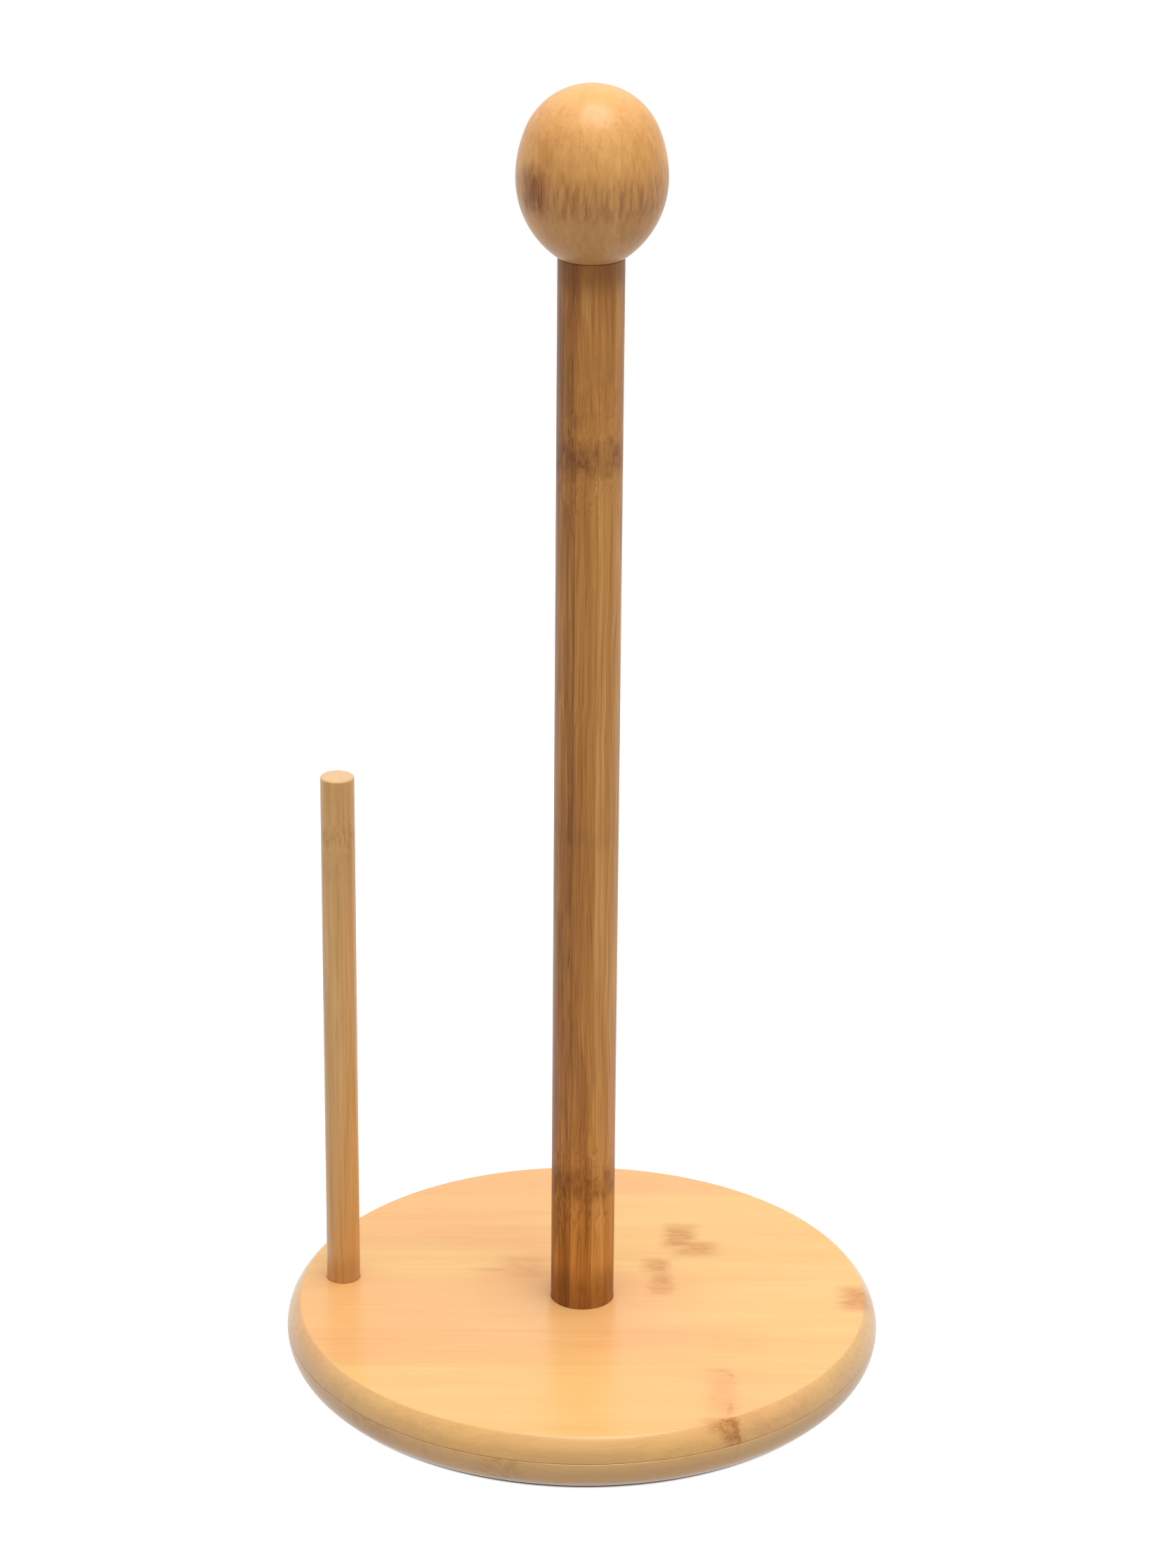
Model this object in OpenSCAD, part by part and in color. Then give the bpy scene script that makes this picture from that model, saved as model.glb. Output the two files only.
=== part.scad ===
// Paper towel holder: a round two-ply bamboo base, a centre post with a screw-on knob, and a side rod
// that keeps the roll from unwinding. Millimetres, +Z up. The origin is on the supporting surface, on
// the post's axis. The upper ply's grain runs along X.

/* [Base] */
// Diameter of the base at its widest
base_d = 151; // [140:1:180]
// Thickness of the upper ply
top_ply_h = 5.8; // [5:0.1:8]
// Thickness of the lower ply
bottom_ply_h = 7.8; // [7:0.1:9]
// Radius of the rounded rim, seen in section
rim_r = 8.5; // [8.5:0.5:16]
// Radius that eases the two edges of the rim
rim_ease = 0.8; // [0.3:0.1:1.2]

/* [Post] */
// Diameter of the centre post
post_d = 16; // [15:0.5:20]
// Height of the post above the base
post_clear_h = 274; // [220:1:320]

/* [Knob] */
// Largest diameter of the knob
knob_d = 35.8; // [34:0.2:38]
// How far the centre of the crown's arc lies above the widest place
crown_rise = 5; // [3:0.5:6]
// How far the centre of the upper flank's arc lies beyond the axis
flank_offset = 12; // [10:1:20]
// Radius of the flank below the widest place
lower_flank_r = 23; // [20:0.1:40]

/* [Side rod] */
// Diameter of the side rod
rod_d = 8.5; // [8:0.5:10]
// Height of the side rod above the base
rod_clear_h = 139; // [100:1:200]
// Distance between the axes of the post and the rod
rod_reach = 62.2; // [58:0.1:64]
// Direction of the rod from the post, anticlockwise from +X
rod_angle = 171.7; // [150:0.1:210]

/* [Knob screw] */
// Nominal diameter of the stud, bolt and insert threads
thread_d = 6; // [5:1:6]
// How far the stud reaches into the knob
stud_in_knob = 13; // [10:0.5:14]
// How far the stud reaches into the post
stud_in_post = 22; // [15:1:30]

/* [Feet] */
// Diameter of a rubber foot
foot_d = 14; // [10:1:18]
// Height of a rubber foot
foot_h = 1.5; // [1.5:0.1:3]
// Radius of the circle on which the feet are placed
foot_circle_r = 54; // [40:1:55]

/* [Hidden] */
$fn = 96;
// A cut reaches this far past the face that it opens
past = 1;
// Radial gap of a glued or screwed fit that stays put
glue_gap = 0.02;
// Radial running gap between the stud and the knob's insert
thread_gap = 0.06;
// Gap between the knob and the post, so that the knob turns
knob_gap = 0.1;

base_r = base_d / 2;
base_h = top_ply_h + bottom_ply_h;
glue_z = foot_h + bottom_ply_h;
base_top_z = foot_h + base_h;

post_r = post_d / 2;
post_seat_h = 3.6;
post_foot_z = base_top_z - post_seat_h;
post_top_z = base_top_z + post_clear_h;
post_ease = 0.3;

rod_r = rod_d / 2;
rod_seat_h = 3.6;
rod_foot_z = base_top_z - rod_seat_h;
rod_top_z = base_top_z + rod_clear_h;
rod_chamfer = 0.6;

thread_r = thread_d / 2;
thread_chamfer = 0.5;
insert_wall = 1.5;
insert_r = thread_r + insert_wall;
post_insert_h = 13;
knob_insert_h = stud_in_knob - 1;
insert_recess = 0.3;
insert_ease = 0.4;
// Each blind hole is this much deeper than what it holds
hole_spare = 2;

knob_belt_r = knob_d / 2;
upper_flank_r = knob_belt_r + flank_offset;
crown_r = upper_flank_r - norm([flank_offset, crown_rise]);
knob_foot_r = post_r + 0.1;
knob_foot_z = post_top_z + knob_gap;
knob_drop = sqrt(pow(lower_flank_r, 2) - pow(lower_flank_r - knob_belt_r + knob_foot_r, 2));
knob_belt_z = knob_foot_z + knob_drop;

bolt_r = thread_r;
bolt_head_r = 5.7;
bolt_head_land = 0.3;
bolt_recess = 0.2;
bolt_l = base_h - post_seat_h + 10;
bolt_hole_r = 3.3;

screw_r = 1.75;
screw_head_r = 3.6;
screw_l = 25;
screw_tip_h = 4;
screw_tip_r = 0.3;
screw_hole_r = 1.9;

// Cross recess of both screw heads: length, width and depth, as shares of the head's radius
cross_length = 1.05;
cross_width = 0.24;
cross_depth = 0.3;

foot_r = foot_d / 2;
foot_ease = 0.5;
foot_count = 4;

wood_pale = "#F2C98E";
wood_mid = "#D9A766";
wood_dark = "#A4713A";
wood_knob = "#C48F52";
brass = "#B8964C";
steel = "#9A9DA0";
rubber = "#3A3836";

// Places children on the rod's axis
module at_rod() {
    rotate(rod_angle) translate([rod_reach, 0, 0]) rotate(-rod_angle) children();
}

// Circle of a section, with its centre at x, y
module disc_at(x, y, r) {
    translate([x, y]) circle(r);
}

// Right half of a rectangle with its two outer corners cut at 45 degrees
module rod_profile(r, z_low, z_high, cut_low, cut_high) {
    polygon([
        [0, z_low],
        [r - cut_low, z_low],
        [r, z_low + cut_low],
        [r, z_high - cut_high],
        [r - cut_high, z_high],
        [0, z_high]
    ]);
}

// Turned rod with chamfered ends
module turned_rod(r, z_low, z_high, cut_low, cut_high) {
    rotate_extrude() rod_profile(r, z_low, z_high, cut_low, cut_high);
}

// Upper right quarter of the base's section, about the middle of its thickness: a rim arc that meets
// the flat face through a smaller arc
module rim_quarter() {
    arc_x = base_r - rim_r;
    half_h = base_h / 2;
    ease_y = half_h - rim_ease;
    ease_dx = sqrt(pow(rim_r - rim_ease, 2) - pow(ease_y, 2));
    ease_x = arc_x + ease_dx;
    square([ease_x, half_h]);
    intersection() {
        disc_at(ease_x, ease_y, rim_ease);
        square([base_r, half_h]);
    }
    intersection() {
        disc_at(arc_x, 0, rim_r);
        polygon([
            [arc_x, 0],
            [base_r + past, 0],
            [base_r + past, (base_r + past - arc_x) * ease_y / ease_dx]
        ]);
    }
}

// The base before it is split at the glue line
module base_blank() {
    translate([0, 0, foot_h + base_h / 2])
        rotate_extrude() {
            rim_quarter();
            mirror([0, 1]) rim_quarter();
        }
}

// Slab of the base's thickness between two heights
module slab(z_low, z_high) {
    translate([0, 0, z_low]) cylinder(r = base_r + past, h = z_high - z_low);
}

// Clearance hole and countersink for a flat-head screw from below
module screw_way(hole_r, head_r, shank_r) {
    sink_h = head_r - shank_r + bolt_recess + bolt_head_land;
    translate([0, 0, foot_h - past]) cylinder(r = hole_r, h = base_h + past);
    rotate_extrude()
        polygon([
            [0, foot_h - past],
            [head_r + glue_gap, foot_h - past],
            [head_r + glue_gap, foot_h + bolt_recess + bolt_head_land],
            [shank_r + glue_gap, foot_h + sink_h],
            [0, foot_h + sink_h]
        ]);
}

// Everything that is cut out of the two plies
module base_cuts() {
    screw_way(bolt_hole_r, bolt_head_r, bolt_r);
    at_rod() screw_way(screw_hole_r, screw_head_r, screw_r);
    translate([0, 0, post_foot_z]) cylinder(r = post_r + glue_gap, h = post_seat_h + past);
    at_rod()
        translate([0, 0, rod_foot_z]) cylinder(r = rod_r + glue_gap, h = rod_seat_h + past);
}

// Section of the knob above its widest place: a flank arc, and a crown arc tangent to it whose centre
// is on the axis
module knob_upper_section() {
    reach = knob_belt_r + past;
    intersection() {
        disc_at(-flank_offset, 0, upper_flank_r);
        polygon([
            [0, 0],
            [reach, 0],
            [reach, crown_rise * (1 + reach / flank_offset)],
            [0, crown_rise]
        ]);
    }
    intersection() {
        disc_at(0, crown_rise, crown_r);
        square(knob_d);
    }
}

// Section of the knob below its widest place, down to where it meets the post
module knob_lower_section() {
    intersection() {
        disc_at(knob_belt_r - lower_flank_r, 0, lower_flank_r);
        translate([0, -knob_drop]) square([knob_belt_r + past, knob_drop]);
    }
}

// Flat-head screw, head down, its head's face at z_low
module flat_head_screw(z_low, head_r, shank_r, length, tip_h, tip_r) {
    cone_top = z_low + bolt_head_land + head_r - shank_r;
    arm_l = cross_length * head_r;
    arm_w = cross_width * head_r;
    recess_h = cross_depth * head_r + past;
    difference() {
        rotate_extrude()
            polygon([
                [0, z_low],
                [head_r, z_low],
                [head_r, z_low + bolt_head_land],
                [shank_r, cone_top],
                [shank_r, z_low + length - tip_h],
                [tip_r, z_low + length],
                [0, z_low + length]
            ]);
        for (turn = [0, 90])
            rotate(turn)
                translate([-arm_l / 2, -arm_w / 2, z_low - past])
                    cube([arm_l, arm_w, recess_h]);
    }
}

// Brass tube with eased ends
module threaded_insert(z_low, length, bore_r) {
    difference() {
        turned_rod(insert_r, z_low, z_low + length, insert_ease, insert_ease);
        translate([0, 0, z_low - past]) cylinder(r = bore_r, h = length + 2 * past);
    }
}

module base_top_ply() {
    color(wood_pale)
        difference() {
            intersection() {
                base_blank();
                slab(glue_z, base_top_z + past);
            }
            base_cuts();
        }
}

module base_bottom_ply() {
    color(wood_mid)
        difference() {
            intersection() {
                base_blank();
                slab(foot_h - past, glue_z);
            }
            base_cuts();
        }
}

module centre_post() {
    bolt_tip_z = foot_h + bolt_recess + bolt_l;
    color(wood_dark)
        difference() {
            turned_rod(post_r, post_foot_z, post_top_z, post_ease, post_ease);
            translate([0, 0, post_foot_z - past])
                cylinder(r = insert_r + glue_gap, h = post_insert_h + past);
            translate([0, 0, post_foot_z])
                cylinder(r = bolt_hole_r, h = bolt_tip_z + hole_spare - post_foot_z);
            translate([0, 0, post_top_z - stud_in_post])
                cylinder(r = thread_r + glue_gap, h = stud_in_post + past);
        }
}

module knob() {
    color(wood_knob)
        difference() {
            translate([0, 0, knob_belt_z])
                rotate_extrude() {
                    knob_upper_section();
                    knob_lower_section();
                }
            translate([0, 0, knob_foot_z - past])
                cylinder(r = insert_r + glue_gap, h = past + insert_recess + knob_insert_h);
            translate([0, 0, knob_foot_z])
                cylinder(r = bolt_hole_r, h = stud_in_knob + hole_spare);
        }
}

module side_rod() {
    color(wood_mid)
        at_rod()
            difference() {
                turned_rod(rod_r, rod_foot_z, rod_top_z, rod_chamfer, rod_chamfer);
                translate([0, 0, rod_foot_z - past])
                    cylinder(
                        r = screw_r + glue_gap,
                        h = foot_h + bolt_recess + screw_l + hole_spare - rod_foot_z + past
                    );
            }
}

module post_insert() {
    color(brass) threaded_insert(post_foot_z, post_insert_h, thread_r + glue_gap);
}

module knob_insert() {
    color(brass)
        threaded_insert(knob_foot_z + insert_recess, knob_insert_h, thread_r + thread_gap);
}

module post_bolt() {
    color(steel)
        flat_head_screw(
            foot_h + bolt_recess, bolt_head_r, bolt_r, bolt_l,
            thread_chamfer, bolt_r - thread_chamfer
        );
}

module knob_stud() {
    color(steel)
        turned_rod(
            thread_r, post_top_z - stud_in_post, post_top_z + stud_in_knob,
            thread_chamfer, thread_chamfer
        );
}

module rod_screw() {
    color(steel)
        at_rod()
            flat_head_screw(
                foot_h + bolt_recess, screw_head_r, screw_r, screw_l,
                screw_tip_h, screw_tip_r
            );
}

// One rubber foot, its lower edge rounded
module foot(index) {
    color(rubber)
        rotate((index - 0.5) * 360 / foot_count)
            translate([foot_circle_r, 0, 0])
                rotate_extrude() {
                    square([foot_r - foot_ease, foot_h]);
                    translate([0, foot_ease]) square([foot_r, foot_h - foot_ease]);
                    intersection() {
                        disc_at(foot_r - foot_ease, foot_ease, foot_ease);
                        square([foot_r, foot_h]);
                    }
                }
}

base_top_ply();
base_bottom_ply();
centre_post();
knob();
side_rod();
post_insert();
post_bolt();
knob_stud();
knob_insert();
rod_screw();
foot(1);  // foot_1
foot(2);  // foot_2
foot(3);  // foot_3
foot(4);  // foot_4
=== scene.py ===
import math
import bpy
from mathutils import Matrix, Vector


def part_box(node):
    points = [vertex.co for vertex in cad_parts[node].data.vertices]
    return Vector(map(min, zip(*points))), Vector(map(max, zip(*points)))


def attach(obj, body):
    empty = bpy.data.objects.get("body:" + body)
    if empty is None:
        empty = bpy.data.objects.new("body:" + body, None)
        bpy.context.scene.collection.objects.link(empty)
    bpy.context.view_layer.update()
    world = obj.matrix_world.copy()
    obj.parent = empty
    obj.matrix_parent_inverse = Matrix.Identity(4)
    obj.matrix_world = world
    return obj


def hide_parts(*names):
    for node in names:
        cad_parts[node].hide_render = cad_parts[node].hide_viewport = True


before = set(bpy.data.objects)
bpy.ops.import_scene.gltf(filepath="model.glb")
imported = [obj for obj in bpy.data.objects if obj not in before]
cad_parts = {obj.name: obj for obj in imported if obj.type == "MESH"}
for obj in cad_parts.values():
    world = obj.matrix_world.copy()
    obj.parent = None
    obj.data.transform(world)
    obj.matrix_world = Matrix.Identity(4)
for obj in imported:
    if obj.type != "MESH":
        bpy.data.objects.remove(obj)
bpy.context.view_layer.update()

# Looks of the paper towel holder. Metres, +Z up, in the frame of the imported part. Every wooden, brass,
# steel and rubber piece is rebuilt as a clean mesh of the CAD shape with the detail that the CAD model
# leaves out: eased sockets, the glue line, screw threads, a knurl, moulded feet. Patterns are in mm.

from types import SimpleNamespace

import bmesh
import bpy
from mathutils import Matrix, Vector

MM = 0.001
TURN = 2 * math.pi

# ---------------------------------------------------------------- shape of the part, from the frame


def span(node):
    """Axis, radius and both ends of a round CAD node that stands upright."""
    low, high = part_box(node)
    return SimpleNamespace(
        axis=((low.x + high.x) / 2, (low.y + high.y) / 2),
        radius=(high.x - low.x) / 2,
        low=low.z,
        high=high.z,
    )


upper_ply = span("base_top_ply")
lower_ply = span("base_bottom_ply")
post = span("centre_post")
knob = span("knob")
rod = span("side_rod")
post_insert = span("post_insert")
knob_insert = span("knob_insert")
post_bolt = span("post_bolt")
knob_stud = span("knob_stud")
rod_screw = span("rod_screw")
FEET = sorted(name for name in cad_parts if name.startswith("foot_"))

# Radii of the rim: the arc of the section, and the arc that eases it into the flat faces
RIM_ARC = 8.5 * MM
RIM_EASE = 0.8 * MM
# The knob's section: how high the crown arc's centre is above the widest place, how far beyond the axis
# the flank arc's centre is, and the radius of the lower flank
CROWN_RISE = 5 * MM
FLANK_OFFSET = 12 * MM
LOWER_FLANK = 23 * MM
# How much of the lower flank's arc the rounding at the knob's foot takes, in degrees
FOOT_ROUNDING = 0.6
# Radial gap of a fit that stays put and of a thread that turns, and radii of the holes round a shank
GLUE_GAP = 0.02 * MM
THREAD_GAP = 0.06 * MM
BOLT_HOLE = 3.3 * MM
SCREW_HOLE = 1.9 * MM
# Radius of a screw's shank, its length up to the thread, the flat edge of its head, and the room past
# its tip
BOLT_SHANK = 3 * MM
SCREW_SHANK = 1.75 * MM
BOLT_PLAIN = 9 * MM
SCREW_PLAIN = 8 * MM
HEAD_LAND = 0.3 * MM
TIP_ROOM = 2 * MM
# Pitch and depth of the metric thread and of the wood screw's, and their tips
METRIC_PITCH = MM
METRIC_DEPTH = 0.5 * MM
METRIC_TIP = 0.5 * MM
WOOD_PITCH = 1.6 * MM
WOOD_DEPTH = 0.55 * MM
WOOD_TIP = 4 * MM
WOOD_TIP_RADIUS = 0.3 * MM
# Small roundings that a turned or sanded edge has
SOCKET_EASE = 0.1 * MM
POST_EASE = 0.15 * MM
ROD_EASE = 0.6 * MM
KNOB_EASE = 0.12 * MM
INSERT_EASE = 0.4 * MM
FOOT_EASE = 0.5 * MM
# Depth of the groove where the glue line is
GLUE_GROOVE = 0.16 * MM

# Steps round a big and a small turned piece, and rings of vertices in one pitch of a thread
ROUND_STEPS = 192
SMALL_STEPS = 96
ROWS_PER_PITCH = 10
# The angle from which an edge is sharp, and the distance below which two points are the same
SHARP = math.radians(32)
NOTHING = 0.0001 * MM

# ---------------------------------------------------------------- mesh tools


def arc(centre, radius, start, end, steps):
    """Points of a section on a circle, from one angle to another, in degrees."""
    points = []
    for i in range(steps + 1):
        angle = math.radians(start + (end - start) * i / steps)
        points.append((centre[0] + radius * math.cos(angle), centre[1] + radius * math.sin(angle)))
    return points


def straight(start, end, steps):
    """Points of a section on a line, both ends included."""
    return [
        (
            start[0] + (end[0] - start[0]) * i / steps,
            start[1] + (end[1] - start[1]) * i / steps,
        )
        for i in range(steps + 1)
    ]


def without_repeats(outline):
    """The outline without points that lie on the one before."""
    kept = []
    for point in outline:
        if not kept or math.dist(point, kept[-1]) > NOTHING:
            kept.append(point)
    return kept


def turned(name, outline, steps, axis=(0, 0), closed=False, surface=None):
    """A turned mesh from the outline's (radius, height) points. An open outline starts and ends on the
    axis, and a closed one goes round a ring. surface(radius, height, angle) may change the radius."""
    outline = without_repeats(outline)
    if closed and math.dist(outline[0], outline[-1]) < NOTHING:
        outline.pop()
    mesh = bmesh.new()

    def ring(radius, height):
        """The vertices at one point of the outline: a single one on the axis."""
        if radius < NOTHING:
            return [mesh.verts.new((*axis, height))]
        verts = []
        for i in range(steps):
            angle = TURN * i / steps
            r = surface(radius, height, angle) if surface else radius
            x = axis[0] + r * math.cos(angle)
            y = axis[1] + r * math.sin(angle)
            verts.append(mesh.verts.new((x, y, height)))
        return verts

    rings = [ring(radius, height) for radius, height in outline]
    pairs = list(zip(rings, rings[1:]))
    if closed:
        pairs.append((rings[-1], rings[0]))
    for one, two in pairs:
        for i in range(steps):
            corners = [one[i % len(one)], one[(i + 1) % len(one)]]
            corners += [two[(i + 1) % len(two)], two[i % len(two)]]
            mesh.faces.new(dict.fromkeys(corners))
    return finished(name, mesh)


def finished(name, mesh):
    """An object from a bmesh, its normals outwards and its true edges sharp."""
    bmesh.ops.recalc_face_normals(mesh, faces=mesh.faces)
    data = bpy.data.meshes.new(name)
    mesh.to_mesh(data)
    mesh.free()
    piece = bpy.data.objects.new(name, data)
    bpy.context.scene.collection.objects.link(piece)
    smooth(piece)
    return piece


def smooth(piece):
    """Smooth shading with sharp true edges."""
    piece.data.shade_smooth()
    piece.data.set_sharp_from_angle(angle=SHARP)


def cut(piece, cutters):
    """Cuts closed meshes out of a piece and removes them."""
    for cutter in cutters:
        boolean = piece.modifiers.new("cut", "BOOLEAN")
        boolean.operation = "DIFFERENCE"
        boolean.solver = "EXACT"
        boolean.object = cutter
    bpy.context.view_layer.update()
    shape = piece.evaluated_get(bpy.context.evaluated_depsgraph_get())
    data = bpy.data.meshes.new_from_object(shape)
    piece.modifiers.clear()
    piece.data = data
    data.name = piece.name
    for cutter in cutters:
        bpy.data.objects.remove(cutter)
    smooth(piece)
    return piece


def block(name, low, high, turn=0, axis=(0, 0)):
    """A box between two corners, turned about an upright axis."""
    mesh = bmesh.new()
    bmesh.ops.create_cube(mesh, size=1)
    size = Vector(high) - Vector(low)
    middle = (Vector(high) + Vector(low)) / 2
    place = Matrix.Translation((*axis, 0)) @ Matrix.Rotation(turn, 4, "Z")
    place = place @ Matrix.Translation(middle) @ Matrix.Diagonal((*size, 1))
    bmesh.ops.transform(mesh, matrix=place, verts=mesh.verts)
    return finished(name, mesh)


def helix_thread(radius, pitch, depth, low, high, inwards=True):
    """A surface for turned(): a right-handed thread between two heights that fades in and out. Its crest
    and its root are flat, each a tenth of the pitch wide."""
    flat = 0.1
    same_radius = 0.001 * MM

    def cut_radius(r, height, angle):
        if abs(r - radius) > same_radius or not low <= height <= high:
            return r
        phase = (height / pitch - angle / TURN) % 1
        flank = (abs(2 * phase - 1) - flat) / (1 - 2 * flat)
        fade = min(1, (height - low) / pitch, (high - height) / pitch)
        share = min(1, max(0, flank)) * fade
        return r - depth * share if inwards else r + depth * share

    return cut_radius


# ---------------------------------------------------------------- sections and pieces

# The rim's arc, the small arcs that ease it into the flat faces, and the glue line on it
rim_middle = (lower_ply.low + upper_ply.high) / 2
half_height = (upper_ply.high - lower_ply.low) / 2
rim_centre = upper_ply.radius - RIM_ARC
ease_height = half_height - RIM_EASE
ease_reach = rim_centre + math.sqrt((RIM_ARC - RIM_EASE) ** 2 - ease_height**2)
ease_angle = math.degrees(math.atan2(ease_height, ease_reach - rim_centre))
glue_height = upper_ply.low
glue_angle = math.degrees(math.asin((glue_height - rim_middle) / RIM_ARC))
groove_angle = math.degrees(GLUE_GROOVE / RIM_ARC)
# Where the boards' flat faces have rings of vertices, as shares of the base's radius
FLAT_RINGS = [0.3, 0.55, 0.72, 0.9, 0.94]
# Radii of the knob's upper flank and crown, and the height of its widest place
knob_flank = knob.radius + FLANK_OFFSET
knob_crown = knob_flank - math.hypot(FLANK_OFFSET, CROWN_RISE)
knob_belt = knob.high - knob_crown - CROWN_RISE


def rim_point(angle, radius=RIM_ARC):
    """Point of the rim's arc at an angle above its middle."""
    angle = math.radians(angle)
    return (rim_centre + radius * math.cos(angle), rim_middle + radius * math.sin(angle))


def eased_corner(sign):
    """The small arc between the rim and a flat face, above (1) or below (-1) the middle."""
    centre = (ease_reach, rim_middle + sign * ease_height)
    return arc(centre, RIM_EASE, sign * ease_angle, sign * 90, steps=10)


def countersink(screw, head, hole):
    """Lower and upper end of the cone that a screw's head sits in: its radius and height at each."""
    land_top = screw.low + HEAD_LAND
    return [(head + GLUE_GAP, land_top), (hole + GLUE_GAP, land_top + head - hole)]


def base_top_ply():
    """The upper board, with the sockets of the post and the rod."""
    socket = post.radius + GLUE_GAP
    outline = [(BOLT_HOLE, glue_height), (BOLT_HOLE, post.low), (socket, post.low)]
    outline += arc((socket + SOCKET_EASE, upper_ply.high - SOCKET_EASE), SOCKET_EASE, 180, 90, steps=4)
    outline += [(upper_ply.radius * share, upper_ply.high) for share in FLAT_RINGS[1:]]
    outline += reversed(eased_corner(1))
    outline += arc((rim_centre, rim_middle), RIM_ARC, ease_angle, glue_angle + groove_angle, steps=16)
    outline.append(rim_point(glue_angle, RIM_ARC - GLUE_GROOVE))
    outline += [(upper_ply.radius * share, glue_height) for share in reversed(FLAT_RINGS)]
    piece = turned("bamboo_top_board", outline, ROUND_STEPS, closed=True)
    rod_socket = rod.radius + GLUE_GAP
    mouth = upper_ply.high + SOCKET_EASE
    way = [(0, glue_height - MM), (SCREW_HOLE, glue_height - MM), (SCREW_HOLE, rod.low)]
    way += [(rod_socket, rod.low), (rod_socket, upper_ply.high - SOCKET_EASE)]
    way += [(rod_socket + 2 * SOCKET_EASE, mouth), (0, mouth)]
    return cut(piece, [turned("rod_way", way, SMALL_STEPS, axis=rod.axis)])


def base_bottom_ply():
    """The lower board, countersunk for both screws."""
    sink = countersink(post_bolt, post_bolt.radius, BOLT_HOLE)
    outline = [(BOLT_HOLE, glue_height), sink[1], sink[0], (sink[0][0], lower_ply.low)]
    outline += [(lower_ply.radius * share, lower_ply.low) for share in FLAT_RINGS]
    outline += reversed(eased_corner(-1))
    outline += arc((rim_centre, rim_middle), RIM_ARC, -ease_angle, glue_angle - groove_angle, steps=40)
    outline.append(rim_point(glue_angle, RIM_ARC - GLUE_GROOVE))
    outline += [(lower_ply.radius * share, glue_height) for share in reversed(FLAT_RINGS)]
    piece = turned("bamboo_bottom_board", outline, ROUND_STEPS, closed=True)
    sink = countersink(rod_screw, rod_screw.radius, SCREW_HOLE)
    way = [(0, lower_ply.low - MM), (sink[0][0], lower_ply.low - MM), sink[0], sink[1]]
    way += [(SCREW_HOLE, glue_height + MM), (0, glue_height + MM)]
    return cut(piece, [turned("screw_way", way, SMALL_STEPS, axis=rod.axis)])


def glue_ring():
    """The edge of the glue between the boards, deep in the groove."""
    outer = rim_point(glue_angle, RIM_ARC - 0.8 * GLUE_GROOVE)[0]
    inner = outer - 0.3 * MM
    low = glue_height - 0.35 * GLUE_GROOVE
    high = glue_height + 0.35 * GLUE_GROOVE
    outline = [(inner, low), (outer, low), (outer, high), (inner, high)]
    return turned("glue_line", outline, ROUND_STEPS, closed=True)


def centre_post():
    """The post, bored for its insert and the bolt's tip below and for the stud above."""
    bore = post_insert.radius + GLUE_GAP
    stud_bore = BOLT_SHANK + GLUE_GAP
    tip_end = post_bolt.high + TIP_ROOM
    outline = [(0, tip_end), (BOLT_HOLE, tip_end), (BOLT_HOLE, post_insert.high)]
    outline += [(bore, post_insert.high), (bore, post.low)]
    outline += arc((post.radius - POST_EASE, post.low + POST_EASE), POST_EASE, -90, 0, steps=6)
    outline += arc((post.radius - POST_EASE, post.high - POST_EASE), POST_EASE, 0, 90, steps=6)
    outline += [(stud_bore, post.high), (stud_bore, knob_stud.low), (0, knob_stud.low)]
    return turned("bamboo_post", outline, ROUND_STEPS)


def knob_egg():
    """The knob: a crown arc about a centre on the axis, a flank arc tangent to it, a lower flank arc and
    a flat foot."""
    join = math.degrees(math.atan2(CROWN_RISE, FLANK_OFFSET))
    foot_angle = math.degrees(math.asin((knob.low - knob_belt) / LOWER_FLANK))
    foot_radius = knob.radius - LOWER_FLANK * (1 - math.cos(math.radians(foot_angle)))
    bore = knob_insert.radius + GLUE_GAP
    bore_end = knob_stud.high + TIP_ROOM
    shoulder = knob_insert.high + GLUE_GAP
    outline = [(0, bore_end), (BOLT_HOLE, bore_end), (BOLT_HOLE, shoulder)]
    outline += [(bore, shoulder), (bore, knob.low)]
    outline.append((foot_radius - KNOB_EASE, knob.low))
    lower_centre = (knob.radius - LOWER_FLANK, knob_belt)
    outline += arc(lower_centre, LOWER_FLANK, foot_angle + FOOT_ROUNDING, 0, steps=48)
    outline += arc((-FLANK_OFFSET, knob_belt), knob_flank, 0, join, steps=24)
    outline += arc((0, knob_belt + CROWN_RISE), knob_crown, join, 90, steps=64)
    outline[-1] = (0, knob.high)
    return turned("bamboo_knob", outline, ROUND_STEPS)


def side_rod():
    """The rod, with the hole of its screw and rounded ends."""
    bore = SCREW_SHANK + GLUE_GAP
    bore_end = rod_screw.high + TIP_ROOM
    outline = [(0, bore_end), (bore, bore_end), (bore, rod.low)]
    outline += arc((rod.radius - ROD_EASE, rod.low + ROD_EASE), ROD_EASE, -90, 0, steps=6)
    outline += arc((rod.radius - ROD_EASE, rod.high - ROD_EASE), ROD_EASE, 0, 90, steps=10)
    outline.append((0, rod.high))
    return turned("bamboo_side_rod", outline, SMALL_STEPS, axis=rod.axis)


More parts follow.
